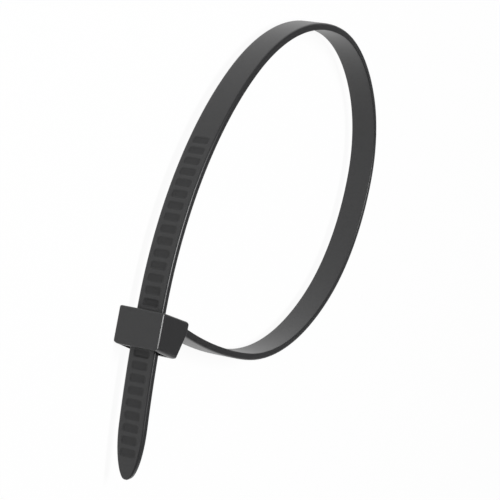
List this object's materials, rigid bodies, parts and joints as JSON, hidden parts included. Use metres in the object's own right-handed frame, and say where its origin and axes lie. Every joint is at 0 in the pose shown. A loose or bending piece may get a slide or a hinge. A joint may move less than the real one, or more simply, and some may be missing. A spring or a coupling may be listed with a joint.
{
  "type": "cable tie",
  "caption": "One-piece nylon cable tie closed into a loop, with a locking pawl in its head, a notched strap and a pointed tail.",
  "frame": {"origin": "middle of the loop's outline, on the surface that the tie lies on", "axes": "+Z across the width of the strap, up from the surface; +Y along the slot, from the tail to the top of the loop; +X from the head to the far end of the loop"},
  "size_m": [0.0828, 0.0866, 0.0083],
  "materials": {
    "nylon": "moulded black nylon, satin"
  },
  "bodies": {
    "root": {"cable_tie": "nylon"}
  },
  "joints": []
}
